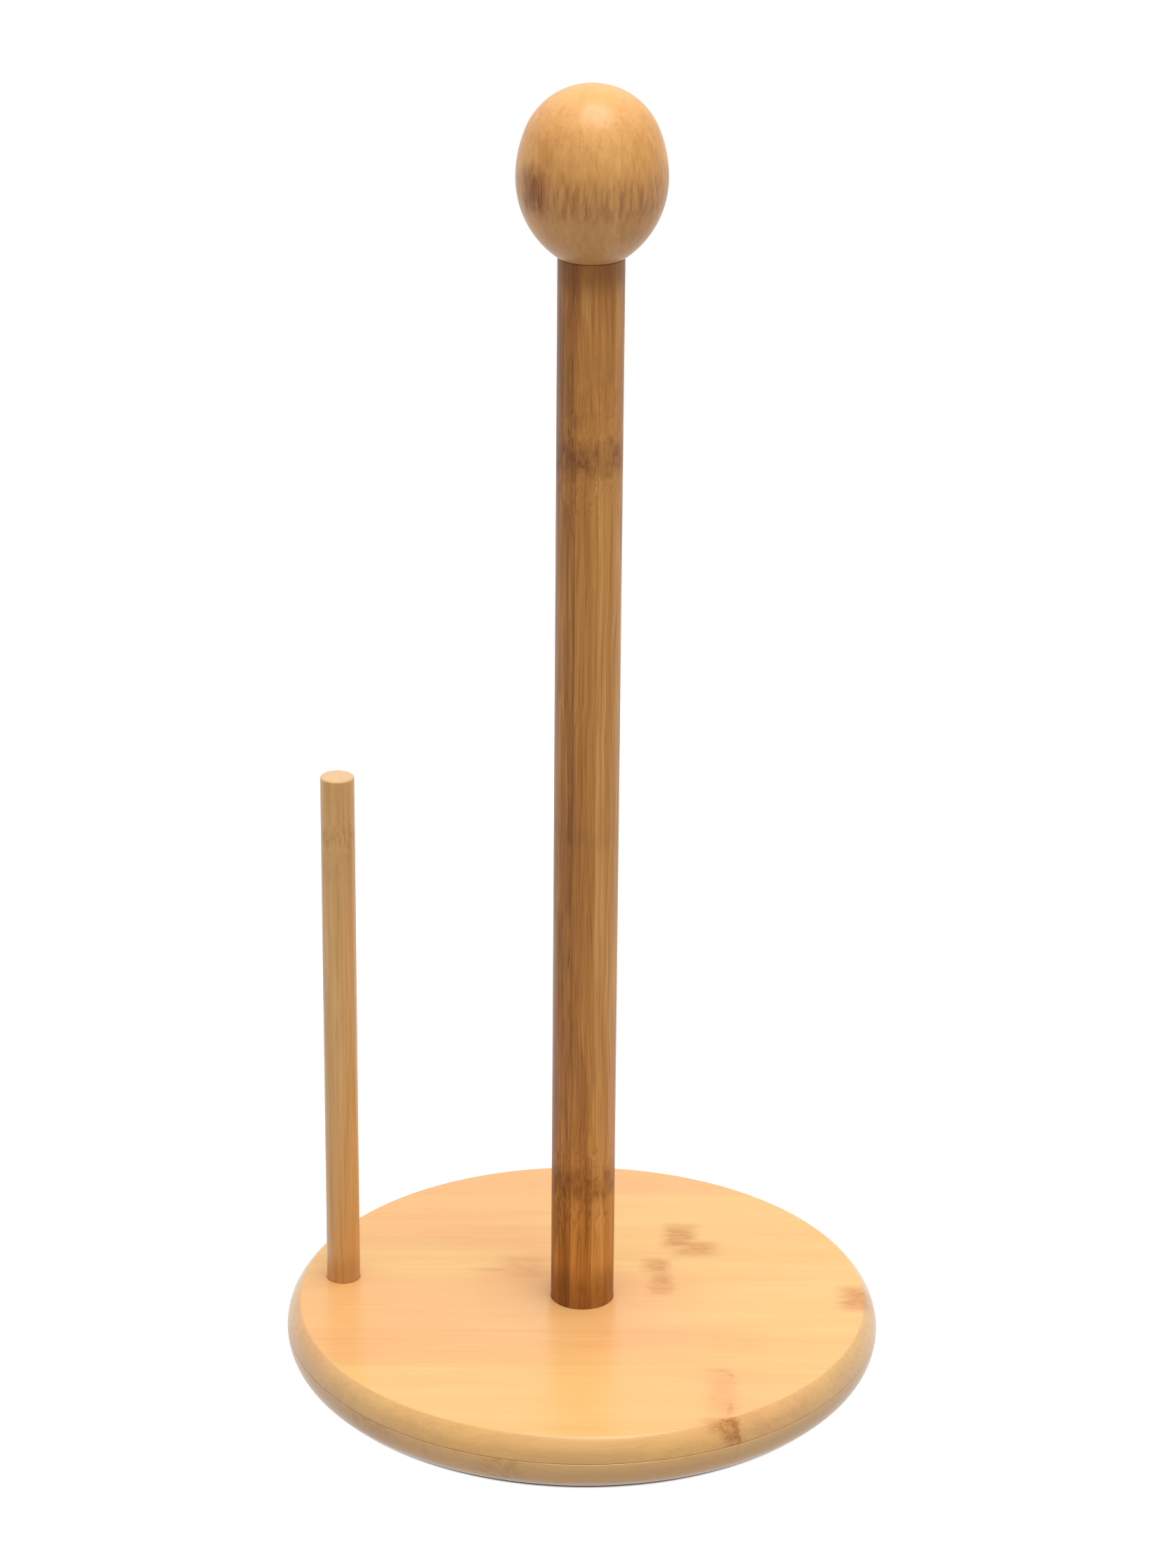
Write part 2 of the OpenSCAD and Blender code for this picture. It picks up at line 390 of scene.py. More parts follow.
def brass_insert(name, insert, bore):
    """A tube with a straight knurl outside, a groove round its middle, and a thread inside."""
    teeth = 28
    tooth_flank = 1.6
    knurl_depth = 0.22 * MM
    thread_depth = 0.35 * MM
    row_height = 0.12 * MM
    length = insert.high - insert.low
    half_groove = 0.08 * length
    middle = (insert.low + insert.high) / 2
    thread = helix_thread(bore, METRIC_PITCH, thread_depth, insert.low, insert.high, inwards=False)

    def surface(r, height, angle):
        if r < insert.radius - INSERT_EASE:
            return thread(r, height, angle)
        if abs(height - middle) < half_groove:
            return r - knurl_depth
        tooth = abs(2 * ((angle / TURN * teeth) % 1) - 1)
        return r - knurl_depth * (1 - min(1, tooth_flank * tooth))

    low_corner = (insert.radius - INSERT_EASE, insert.low + INSERT_EASE)
    high_corner = (insert.radius - INSERT_EASE, insert.high - INSERT_EASE)
    outline = arc(low_corner, INSERT_EASE, -90, 0, steps=5)
    outline += straight((insert.radius, low_corner[1]), (insert.radius, high_corner[1]), steps=40)
    outline += arc(high_corner, INSERT_EASE, 0, 90, steps=5)
    outline += straight((bore, insert.high), (bore, insert.low), round(length / row_height))
    return turned(name, outline, 2 * SMALL_STEPS, closed=True, surface=surface)


def stud():
    """The threaded stud that the knob screws on to."""
    radius = knob_stud.radius
    low = knob_stud.low + METRIC_TIP
    high = knob_stud.high - METRIC_TIP
    rows = round((knob_stud.high - knob_stud.low) / (METRIC_PITCH / ROWS_PER_PITCH))
    outline = [(0, knob_stud.low), (radius - METRIC_TIP, knob_stud.low)]
    outline += straight((radius, low), (radius, high), rows)
    outline += [(radius - METRIC_TIP, knob_stud.high), (0, knob_stud.high)]
    thread = helix_thread(radius, METRIC_PITCH, METRIC_DEPTH, low, high)
    return turned("knob_stud_thread", outline, SMALL_STEPS, surface=thread)


def flat_head(name, screw, shank, pitch, depth, tip_height, tip_radius, plain):
    """A countersunk screw with a cross recess, head down, threaded beyond its plain length."""
    head = screw.radius
    thread_from = screw.low + plain
    cone_top = screw.low + HEAD_LAND + head - shank
    tip_low = screw.high - tip_height
    row_height = pitch / ROWS_PER_PITCH
    rows = round((tip_low - thread_from) / row_height)
    tip_rows = max(2, round(tip_height / row_height))

    def surface(r, height, angle):
        core = shank if height <= tip_low else r
        return helix_thread(core, pitch, depth * r / shank, thread_from, screw.high)(r, height, angle)

    ease = 0.1 * MM
    outline = [(0, screw.low), (head - ease, screw.low), (head, screw.low + ease)]
    outline += [(head, screw.low + HEAD_LAND), (shank, cone_top)]
    outline += straight((shank, thread_from), (shank, tip_low), rows)
    outline += straight((shank, tip_low), (tip_radius, screw.high), tip_rows)
    outline.append((0, screw.high))
    piece = turned(name, outline, SMALL_STEPS, axis=screw.axis, surface=surface)
    return cut(piece, cross_recess(screw))


def cross_recess(screw):
    """The two crossed cutters of a screw head's recess, in shares of the head's radius."""
    half_length = 0.525 * screw.radius
    half_width = 0.12 * screw.radius
    depth = 0.3 * screw.radius
    low = (-half_length, -half_width, screw.low - MM)
    high = (half_length, half_width, screw.low + depth)
    return [block("recess", low, high, turn, screw.axis) for turn in (0, TURN / 4)]


def rubber_foot(name, foot):
    """A disc with a rounded lower edge and a shallow moulded ring underneath."""
    ring_reach = 0.55 * foot.radius
    ring_half = 0.08 * foot.radius
    ring_depth = 0.25 * MM
    lip = 0.15 * MM
    outline = [(0, foot.low), (ring_reach - ring_half, foot.low)]
    outline.append((ring_reach - ring_half + lip, foot.low + ring_depth))
    outline.append((ring_reach + ring_half - lip, foot.low + ring_depth))
    outline.append((ring_reach + ring_half, foot.low))
    outline += arc((foot.radius - FOOT_EASE, foot.low + FOOT_EASE), FOOT_EASE, -90, 0, steps=8)
    outline += [(foot.radius, foot.high - lip), (foot.radius - lip, foot.high), (0, foot.high)]
    return turned(name, outline, SMALL_STEPS, axis=foot.axis)


# ---------------------------------------------------------------- material tools


def linear(code):
    """Scene colour of an sRGB code such as F0C080."""
    shares = [int(code[i : i + 2], 16) / 255 for i in (0, 2, 4)]
    return (*[s / 12.92 if s < 0.04045 else ((s + 0.055) / 1.055) ** 2.4 for s in shares], 1)


class Graph:
    """A node tree, built by nesting calls. A value is a number or a node's output."""

    def __init__(self, tree):
        self.tree = tree

    def feed(self, socket, value):
        """Links an output to a socket, or sets the socket to a number or colour."""
        if isinstance(value, bpy.types.NodeSocket):
            self.tree.links.new(value, socket)
        else:
            socket.default_value = value

    def node(self, kind, settings=None, inputs=None):
        """A new node with its properties set and its inputs fed."""
        made = self.tree.nodes.new(kind)
        for key, value in (settings or {}).items():
            setattr(made, key, value)
        for key, value in (inputs or {}).items():
            self.feed(made.inputs[key], value)
        return made

    def math(self, operation, *values):
        """One operation of the Math node."""
        made = self.node("ShaderNodeMath", {"operation": operation}, dict(enumerate(values)))
        return made.outputs[0]

    def add(self, *values):
        total = values[0]
        for value in values[1:]:
            total = self.math("ADD", total, value)
        return total

    def times(self, *values):
        product = values[0]
        for value in values[1:]:
            product = self.math("MULTIPLY", product, value)
        return product

    def less(self, one, two):
        return self.math("SUBTRACT", one, two)

    def vector(self, x, y, z):
        return self.node("ShaderNodeCombineXYZ", {}, {0: x, 1: y, 2: z}).outputs[0]

    def scaled(self, place, *factors):
        """A place in a pattern: x, y and z, each multiplied by its own factor."""
        return self.vector(*[self.times(part, factor) for part, factor in zip(place, factors)])

    def noise(self, vector, detail=2.0, roughness=0.5):
        """Noise with features about one unit across, and a mean of a half."""
        inputs = {"Vector": vector, "Scale": 1.0, "Detail": detail, "Roughness": roughness}
        return self.node("ShaderNodeTexNoise", {}, inputs).outputs[0]

    def random(self, value):
        """One random number for each whole value."""
        settings = {"noise_dimensions": "1D"}
        return self.node("ShaderNodeTexWhiteNoise", settings, {"W": value}).outputs[0]

    def fade(self, value, start, end, low=0.0, high=1.0):
        """low where the value is at start, smoothly to high where it is at end."""
        settings = {"interpolation_type": "SMOOTHSTEP"}
        inputs = {0: value, 1: start, 2: end, 3: low, 4: high}
        return self.node("ShaderNodeMapRange", settings, inputs).outputs[0]

    def near(self, value, centre, reach, soft):
        """1 within reach of the centre and 0 beyond it, fading over soft to either side of the limit."""
        distance = self.math("ABSOLUTE", self.less(value, centre))
        return self.fade(distance, reach + soft, reach - soft)

    def mix(self, factor, one, two, blend="MIX"):
        """Two colours mixed, or the first one multiplied by the second."""
        settings = {"data_type": "RGBA", "blend_type": blend}
        made = self.node("ShaderNodeMix", settings, {0: factor, 6: one, 7: two})
        return made.outputs[2]

    def ramp(self, factor, stops):
        """A colour ramp with stops of (place, sRGB code)."""
        made = self.node("ShaderNodeValToRGB", {}, {0: factor})
        points = made.color_ramp.elements
        while len(points) < len(stops):
            points.new(0.5)
        for point, (place, code) in zip(points, stops):
            point.position = place
            point.color = linear(code)
        return made.outputs[0]

    def bump(self, height, distance):
        """A normal for relief of that height, where one unit of height is the distance."""
        inputs = {"Strength": 1.0, "Distance": distance, "Height": height}
        return self.node("ShaderNodeBump", {}, inputs).outputs[0]

    def coordinate(self, kind):
        """The outputs X, Y and Z of one of the texture coordinates."""
        vector = self.node("ShaderNodeTexCoord").outputs[kind]
        return self.node("ShaderNodeSeparateXYZ", {}, {0: vector}).outputs

    def position(self):
        """The piece's own x, y, z in millimetres."""
        return [self.times(part, 1 / MM) for part in self.coordinate("Object")]

    def facing(self, axis):
        """How squarely the surface faces along an axis of the piece, either way."""
        return self.math("ABSOLUTE", self.coordinate("Normal")["XYZ".index(axis)])


class MaterialGraph(Graph):
    """The nodes of a new material."""

    def __init__(self, name):
        self.material = bpy.data.materials.new(name)
        self.material.use_nodes = True
        super().__init__(self.material.node_tree)
        self.shader = self.tree.nodes["Principled BSDF"]


# ---------------------------------------------------------------- bamboo


def mark(along, across, reach, spread, strength=1.0, line=0.0, ragged=1.5, patchy=0.5):
    """A node mark, or a patch of painted shade: its centre, its half-length along the grain and its
    half-width, in mm. line is how strong the thin dark line in it is, ragged how far its outline wanders,
    and patchy how much of it comes and goes."""
    return SimpleNamespace(
        along=along, across=across, reach=reach, spread=spread,
        strength=strength, line=line, ragged=ragged, patchy=patchy,
    )


def band(along, reach, strength=1.0, line=0.6, ragged=3.0, patchy=0.5):
    """A node mark, or a band of painted shade, that runs all the way across the grain."""
    return mark(along, None, reach, None, strength, line, ragged, patchy)


def blush(along, across, reach, spread, strength):
    """A broad patch where the bamboo is a warmer colour."""
    return SimpleNamespace(along=along, across=across, reach=reach, spread=spread, strength=strength)


def contrast(
    fine, medium, broad, strip, bundles, lines, seam,
    length=1.0, wander=3.0, swirl=6.0, patch=(3.0, 1.6),
):
    """How strongly the fibres, strips, dark bundles, dark lines and seams show. length stretches the
    fibres, wander and swirl are how far they stray in general and near a node, and patch is the length
    and width of the patches in a node mark, in mm."""
    return SimpleNamespace(
        fine=fine, medium=medium, broad=broad, strip=strip, bundles=bundles, lines=lines, seam=seam,
        length=length, wander=wander, swirl=swirl, patch=patch,
    )


def tints(mark, blush, end, end_share, rim=None):
    """Colours that multiply those of the wood, in the marks, the blushes and a board's rim, and the
    colour and share of the end grain, which is mixed in."""
    return SimpleNamespace(mark=mark, blush=blush, end=end, end_share=end_share, rim=rim)


def lacquer(relief, waves, weight, gloss):
    """How deep the wood's relief and the film's waves are, and the film's weight and roughness."""
    return SimpleNamespace(relief=relief, waves=waves, weight=weight, gloss=gloss)


BASE_LACQUER = lacquer(relief=0.03 * MM, waves=0.015 * MM, weight=0.85, gloss=0.25)
POST_LACQUER = lacquer(relief=0.04 * MM, waves=0.02 * MM, weight=0.38, gloss=0.28)
ROD_LACQUER = lacquer(relief=0.04 * MM, waves=0.02 * MM, weight=0.6, gloss=0.28)
KNOB_LACQUER = lacquer(relief=0.04 * MM, waves=0.02 * MM, weight=0.46, gloss=0.25)
# What all of them share: roughness and specular level of the wood, and index of the film
WOOD_ROUGHNESS = 0.5
WOOD_SPECULAR = 0.1
FILM_INDEX = 1.5
# Width of the strips that the boards are glued up from, and how far the fibres of a strip may be
# shifted along the grain, in mm
BOARD_STRIP = 19.1
STRIP_SHIFT = 90.0


def laminated_strips(g, across, width, offset, seed):
    """The strips that the wood is glued up from, each a different piece of bamboo: a random tone for
    each, and the seams between them."""
    place = g.add(g.math("DIVIDE", across, width), offset)
    tone = g.random(g.add(g.math("FLOOR", place), seed))
    half_seam = 0.04
    soft_seam = 0.22
    seam = g.fade(g.math("PINGPONG", place, 0.5), soft_seam / width, half_seam / width)
    return SimpleNamespace(tone=tone, seam=seam, shift=g.times(tone, STRIP_SHIFT))


def ring_swirl(g, along, across, deep, marks, strength):
    """How far the fibres are pushed aside close to the marks that have a line, where a culm's ring was."""
    node_near = 0.0
    for m in marks:
        if not m.line:
            continue
        reach = g.near(along, m.along, m.reach * 2.0, m.reach * 1.8)
        if m.across is not None:
            reach = g.times(reach, g.near(across, m.across, m.spread, m.spread * 0.5))
        node_near = g.math("MAXIMUM", node_near, g.times(reach, m.line))
    place = g.scaled((along, across, deep), 0.16, 0.45, 0.45)
    return g.times(g.less(g.noise(place, 2.0), 0.5), g.times(node_near, strength))


def fibre_streaks(g, along, across, deep, shift, marks, levels):
    """Streaks along the grain, from fine to broad. v and w are the two ways across the fibres, which
    wander a little."""
    shifted = g.add(along, shift)
    slow = g.scaled((shifted, across, deep), 0.03, 0.10, 0.10)
    wander = g.times(g.less(g.noise(slow, 1.0), 0.5), levels.wander)
    swirl = ring_swirl(g, along, across, deep, marks, levels.swirl)
    v = g.add(across, wander, swirl)
    w = g.add(deep, wander, swirl)

    def streaks(length, width, detail, roughness=0.55):
        """Streaks about that long and wide, in mm, with a mean of zero."""
        place = g.vector(
            g.math("DIVIDE", shifted, length * levels.length),
            g.math("DIVIDE", v, width),
            g.math("DIVIDE", w, width),
        )
        return g.less(g.noise(place, detail, roughness), 0.5)

    return SimpleNamespace(
        v=v,
        w=w,
        fine=streaks(26.0, 0.42, 2.0),
        medium=streaks(44.0, 1.6, 2.0),
        broad=streaks(70.0, 6.5, 1.5),
        bundles=g.fade(streaks(9.0, 0.34, 1.0, 0.3), 0.10, 0.24),
        lines=g.fade(streaks(50.0, 1.1, 1.0, 0.3), 0.10, 0.26),
    )


def wood_tone(g, strips, fibres, levels):
    """The place on the colour ramp: light fibres up, bundles, dark lines and seams down."""
    tone = g.add(
        0.5,
        g.times(fibres.fine, levels.fine),
        g.times(fibres.medium, levels.medium),
        g.times(fibres.broad, levels.broad),
        g.times(g.less(strips.tone, 0.5), levels.strip),
    )
    tone = g.less(tone, g.times(fibres.bundles, levels.bundles))
    tone = g.less(tone, g.times(fibres.lines, levels.lines))
    return g.less(tone, g.times(strips.seam, levels.seam))


def warm_drift(g, along, across, deep, blushes):
    """How much of the warmer colour there is: a broad random drift, and the blushes."""
    place = g.scaled((along, across, deep), 0.02, 0.06, 0.06)
    drift = g.times(g.less(g.noise(place, 2.0), 0.5), 1.2)
    for patch in blushes:
        reach = g.near(along, patch.along, patch.reach, patch.reach * 0.5)
        side = g.near(across, patch.across, patch.spread, patch.spread * 0.25)
        drift = g.add(drift, g.times(reach, side, patch.strength))
    return g.fade(drift, 0.0, 1.0)


def node_marks_and_painted_shade(g, along, across, fibres, marks, patch):
    """How dark the node marks and the bands and patches of painted shade are: patchy smudges with a ragged
    outline, and a thin dark line where the culm's ring was."""
    ragged_at = g.scaled((along, fibres.v, fibres.w), 0.12, 0.45, 0.45)
    ragged = g.less(g.noise(ragged_at, 3.0, 0.6), 0.5)
    patch_length, patch_width = patch
    patchy_at = g.vector(
        g.math("DIVIDE", along, patch_length),
        g.math("DIVIDE", fibres.v, patch_width),
        g.math("DIVIDE", fibres.w, patch_width),
    )
    patchy = g.fade(g.noise(patchy_at, 3.0, 0.6), 0.38, 0.64)
    streaky = g.add(0.9, g.times(fibres.fine, 1.6))
    smudge_and_shade = 0.0
    for m in marks:
        jagged = g.add(along, g.times(ragged, m.ragged * 4.0))
        cover = g.near(jagged, m.along, m.reach * 0.8, m.reach * 0.55)
        line = g.near(jagged, m.along, 0.2, 0.35)
        if m.across is not None:
            crooked = g.add(across, g.times(ragged, m.ragged * 2.0))
            side = g.near(crooked, m.across, m.spread * 0.85, m.spread * 0.4)
            cover = g.times(cover, side)
            line = g.times(line, side)
        cover = g.times(cover, streaky, g.add(1.0 - m.patchy, g.times(patchy, m.patchy)), m.strength)
        line = g.times(line, g.add(0.3, g.times(patchy, 0.7)), m.line)
        smudge_and_shade = g.math("MAXIMUM", smudge_and_shade, g.math("MAXIMUM", cover, line))
    return smudge_and_shade


def rim_streaks(g, fibres):
    """Where a board's sanded rim takes its tint, in streaks."""
    streaks = g.add(
        0.45, g.times(fibres.broad, 1.6), g.times(fibres.medium, 1.8), g.times(fibres.fine, 1.8)
    )
    flat_face = 0.97
    round_rim = 0.86
    return g.times(g.fade(g.facing("Z"), flat_face, round_rim), streaks)


def lacquered_surface(g, fibres, smudge_and_shade, film):
    """Roughness and relief of the wood, and the lacquer film over it."""
    shader = g.shader.inputs
    rough = g.add(WOOD_ROUGHNESS, g.times(fibres.fine, 0.25), g.times(smudge_and_shade, 0.08))
    g.feed(shader["Roughness"], rough)
    relief = g.add(
        g.times(fibres.fine, 0.5), g.times(fibres.medium, 0.8), g.times(fibres.bundles, -0.25)
    )
    g.feed(shader["Normal"], g.bump(relief, film.relief))
    waves = g.add(g.times(fibres.medium, 0.6), g.times(fibres.broad, 1.4))
    g.feed(shader["Coat Normal"], g.bump(waves, film.waves))
    shader["Specular IOR Level"].default_value = WOOD_SPECULAR
    shader["Coat Weight"].default_value = film.weight
    shader["Coat Roughness"].default_value = film.gloss
    shader["Coat IOR"].default_value = FILM_INDEX


def bamboo(name, grain, stops, shades, marks, blushes, levels, film, strip, seed):
    """Lacquered laminated bamboo. grain is the axis of the fibres, stops are the wood's colours from dark
    to light, and strip is (width, offset) of the laminated strips in mm. The others come from tints(),
    mark(), blush(), contrast() and lacquer()."""
    g = MaterialGraph(name)
    x, y, z = g.position()
    along, across, deep = {"X": (x, y, z), "Z": (z, x, y)}[grain]
    strips = laminated_strips(g, across, *strip, seed)
    fibres = fibre_streaks(g, along, across, deep, strips.shift, marks, levels)
    smudge_and_shade = node_marks_and_painted_shade(g, along, across, fibres, marks, levels.patch)

    colour = g.ramp(wood_tone(g, strips, fibres, levels), stops)
    warmth = warm_drift(g, along, across, deep, blushes)
    colour = g.mix(warmth, colour, linear(shades.blush), "MULTIPLY")
    # The node marks, and the painted shade among them, darken the wood
    colour = g.mix(smudge_and_shade, colour, linear(shades.mark), "MULTIPLY")
    # A face across the fibres shows the end grain
    end_grain = g.fade(g.facing(grain), 0.3, 0.97, 0.0, shades.end_share)
    colour = g.mix(end_grain, colour, linear(shades.end))
    if shades.rim:
        colour = g.mix(rim_streaks(g, fibres), colour, linear(shades.rim), "MULTIPLY")
    g.feed(g.shader.inputs["Base Color"], colour)
    lacquered_surface(g, fibres, smudge_and_shade, film)
    return g.material


def top_board_bamboo():
    """Pale bamboo with small node marks and warmer patches."""
    marks = [
        # To the right of the post: the larger one behind, and the smaller one beside it
        mark(25.8, 38.2, 5.4, 1.4, 0.5, 0.0, 0.6, 0.3),
        mark(25.4, 32.0, 4.8, 7.4, 0.75, 0.0, 1.0, 0.3),
        mark(29.6, 25.4, 6.4, 4.8, 0.65, 0.0, 1.0, 0.3),
        mark(19.2, 16.0, 3.8, 4.4, 0.75, 0.4, 0.8, 0.5),
        mark(20.4, 7.0, 3.5, 7.8, 0.55, 0.0, 0.9, 0.4),
        mark(21.2, 7.0, 1.4, 7.4, 0.45, 0.7, 0.7, 0.8),
        # At the right edge
        mark(70.5, -1.0, 5.4, 7.0, 0.72, 0.0, 1.0, 0.4),
        # In front on the right, out to the edge
        mark(34.0, -38.8, 3.8, 1.3, 0.35, 0.0, 0.5, 0.5),
        mark(34.5, -52.0, 3.8, 13.0, 0.24, 0.0, 1.6, 0.3),
        mark(36.8, -45.0, 1.0, 7.0, 0.4, 0.0, 0.8, 0.7),
        mark(36.0, -59.0, 1.0, 5.0, 0.5, 0.0, 0.8, 0.7),
        mark(34.6, -64.2, 4.8, 2.4, 0.95, 0.0, 1.4, 0.5),
        mark(37.6, -63.8, 1.6, 2.0, 1.0, 0.0, 1.4, 0.1),
        mark(39.0, -22.0, 8.0, 8.0, 0.14, 0.0, 2.0),
        # Close to the post, behind it on the left
        mark(-22.5, 12.9, 6.5, 1.3, 0.3, 0.0, 0.6, 0.4),
        mark(-15.0, 14.5, 6.5, 6.5, 0.3, 0.0, 1.2, 0.3),
    ]
    blushes = [
        blush(-38.0, -12.0, 50.0, 24.0, 0.7),
        blush(18.0, -10.0, 16.0, 22.0, 0.4),
        blush(-40.0, 42.0, 40.0, 16.0, 0.6),
        blush(0.0, 66.0, 90.0, 9.5, 1.0),
        blush(45.0, -50.0, 12.0, 12.0, 0.4),
        blush(33.0, -54.0, 6.0, 16.0, 0.2),
        blush(72.0, -1.0, 6.0, 7.0, 0.7),
        blush(-16.0, 14.0, 9.0, 8.0, 0.5),
    ]
    stops = [(0.0, "D8A162"), (0.4, "E8B56E"), (0.7, "F0C07A"), (1.0, "F6CE90")]
    levels = contrast(
        fine=0.25, medium=0.3, broad=0.4, strip=0.1, bundles=0.05, lines=0.06, seam=0.07, patch=(5.0, 3.0)
    )
    shades = tints(mark="C8A052", blush="FFF1F8", end="CFAE80", end_share=0.5, rim="EEE8E8")
    return bamboo(
        "bamboo_top", "X", stops, shades, marks, blushes, levels, BASE_LACQUER,
        strip=(BOARD_STRIP, 0.0), seed=3,
    )


def bottom_board_bamboo():
    """Streaky bamboo with a few faint marks. From above only its rim shows."""
    marks = [
        mark(-19.5, -70.0, 5.5, 7.0, 0.45, 0.7, 2.0, 0.9),
        mark(-52.0, -54.0, 9.0, 7.0, 0.3, 0.0, 2.0, 0.8),
        mark(34.0, 60.0, 5.0, 20.0, 0.5, 0.5, 2.5),
    ]
    stops = [(0.0, "DA9E5C"), (0.4, "EEB670"), (0.7, "F8C684"), (1.0, "FFD698")]
    levels = contrast(fine=0.4, medium=0.5, broad=0.7, strip=0.4, bundles=0.08, lines=0.12, seam=0.2)
    shades = tints(mark="B08850", blush="FFF0F4", end="BFA07A", end_share=0.5, rim="F0F0E8")
    return bamboo(
        "bamboo_bottom", "X", stops, shades, marks, [], levels, BASE_LACQUER,
        strip=(BOARD_STRIP, 0.4), seed=11,
    )


def post_bamboo():
    """Caramelised bamboo with a culm ring high up and one low down, and painted shade under the knob and
    round the foot.
    """
    top = post.high / MM
    foot = upper_ply.high / MM
    marks = [
        # Painted shade under the knob, where its shadow falls, and the upper culm ring with a faint
        # smudged band above it
        band(top - 1.1, 6.0, 0.5, 0.0, 0.5, 0.2),
        band(top - 32.1, 11.0, 0.2, 0.0, 4.0, 0.9),
        band(top - 47.6, 5.0, 0.7, 0.8, 3.0, 0.55),
        # A faint one half way up, the lower culm ring, and painted shade round the foot, where the post
        # meets the board
        band(foot + 129.9, 3.0, 0.12, 0.0, 3.0),
        band(foot + 34.4, 4.6, 0.6, 0.8, 2.6, 0.55),
        band(foot + 2.9, 8.0, 0.6, 0.0, 0.5, 0.2),
    ]
    stops = [(0.0, "8C5720"), (0.4, "B97A33"), (0.7, "CE9044"), (1.0, "E0AA60")]
    levels = contrast(
        fine=1.0, medium=0.95, broad=0.8, strip=0.4, bundles=0.1, lines=0.14, seam=0.15,
        length=1.1, wander=2.5, swirl=7.0, patch=(4.0, 2.4),
    )
    shades = tints(mark="8A6838", blush="FFE6EE", end="A06E34", end_share=0.5)
    return bamboo(
        "bamboo_post", "Z", stops, shades, marks, [], levels, POST_LACQUER, strip=(5.4, 0.61), seed=5
    )


def knob_bamboo():
    """Turned bamboo, darker in streaks round the knob's widest place, with painted shade on its upper
    left.
    """
    belt = knob_belt / MM
    marks = [
        # Round the widest place, and the dark patch on its left
        band(belt - 1.2, 5.5, 0.62, 0.0, 1.8, 0.85),
        mark(belt - 0.5, -13.4, 6.4, 3.0, 1.05, 0.0, 1.6, 0.2),
        mark(belt - 0.5, -8.0, 5.5, 4.5, 0.6, 0.0, 1.6, 0.8),
        # Painted shade on the upper left, the side that the light reaches less
        mark(belt + 9.0, -9.0, 6.0, 5.0, 0.25, 0.0, 1.5),
    ]
    stops = [(0.0, "BA7C3E"), (0.4, "D69A54"), (0.7, "E6AA62"), (1.0, "EFBA78")]
    levels = contrast(
        fine=0.55, medium=0.6, broad=0.6, strip=0.3, bundles=0.08, lines=0.12, seam=0.1,
        length=0.8, wander=2.0, swirl=1.5, patch=(9.0, 1.1),
    )
    shades = tints(mark="A67C1E", blush="FFEEE8", end="E8B478", end_share=0.4)
    return bamboo(
        "bamboo_knob", "Z", stops, shades, marks, [], levels, KNOB_LACQUER, strip=(9.5, 0.3), seed=8
    )


def rod_bamboo():
    """Paler bamboo with pale end grain."""
    top = rod.high / MM
    foot = upper_ply.high / MM
    marks = [
        # The culm ring near the top with a faint smudged band below it, and painted shade round the foot,
        # where the rod meets the board
        band(top - 15.1, 3.0, 0.24, 0.5, 2.6, 0.8),
        band(top - 23.1, 5.0, 0.14, 0.0, 3.0, 0.8),
        band(foot + 1.9, 6.0, 0.35, 0.0, 0.5, 0.2),
    ]
    stops = [(0.0, "BE884A"), (0.4, "DAA562"), (0.7, "E9B774"), (1.0, "F2C88E")]
    levels = contrast(
        fine=0.65, medium=0.7, broad=0.6, strip=0.25, bundles=0.08, lines=0.2, seam=0.1,
        wander=2.0, patch=(4.0, 2.0),
    )
    shades = tints(mark="A88664", blush="F8F0F4", end="DCB88C", end_share=0.8)
    return bamboo(
        "bamboo_rod", "Z", stops, shades, marks, [], levels, ROD_LACQUER, strip=(4.6, 0.2), seed=21
    )


# ---------------------------------------------------------------- glue, brass, steel, rubber


def glue_material():
    """Brown glue, darker in places."""
    g = MaterialGraph("glue_film")
    patches = g.noise(g.scaled(g.position(), 0.12, 0.12, 1.0), 3.0, 0.6)
    g.feed(g.shader.inputs["Base Color"], g.ramp(patches, [(0.35, "7A5430"), (0.65, "B98C58")]))
    g.feed(g.shader.inputs["Roughness"], g.fade(patches, 0.3, 0.7, 0.45, 0.7))
    return g.material


def metal(name, stops, roughness, spread):
    """Machined metal with faint turning marks and handling stains."""
    g = MaterialGraph(name)
    place = g.position()
    turning = g.noise(g.scaled(place, 0.2, 0.2, 9.0), 2.0)
    stains = g.noise(g.scaled(place, 0.5, 0.5, 0.5), 4.0, 0.6)
    g.feed(g.shader.inputs["Base Color"], g.ramp(stains, stops))
    rough = g.add(roughness, g.times(g.less(stains, 0.5), spread), g.times(turning, spread * 0.3))
    g.feed(g.shader.inputs["Roughness"], rough)
    g.feed(g.shader.inputs["Normal"], g.bump(turning, 0.01 * MM))
    g.shader.inputs["Metallic"].default_value = 1.0
    return g.material


def rubber_material():
    """Matt black rubber with a little dust."""
    g = MaterialGraph("foot_rubber")
    place = g.position()
    grain = g.noise(g.scaled(place, 4.0, 4.0, 4.0), 3.0, 0.6)
    dust = g.noise(g.scaled(place, 0.4, 0.4, 0.4), 3.0, 0.6)
    g.feed(g.shader.inputs["Base Color"], g.ramp(dust, [(0.3, "2B2927"), (0.7, "45423F")]))
    g.feed(g.shader.inputs["Roughness"], g.fade(grain, 0.3, 0.7, 0.55, 0.8))
    g.feed(g.shader.inputs["Normal"], g.bump(grain, 0.02 * MM))
    return g.material


# ---------------------------------------------------------------- the assembly


def show(piece, node, body, material):
    """Gives a piece its body and its material, and the place of a CAD node where there is one."""
    piece.data.materials.clear()
    piece.data.materials.append(material)
    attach(piece, body)
    if node:
        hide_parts(node)


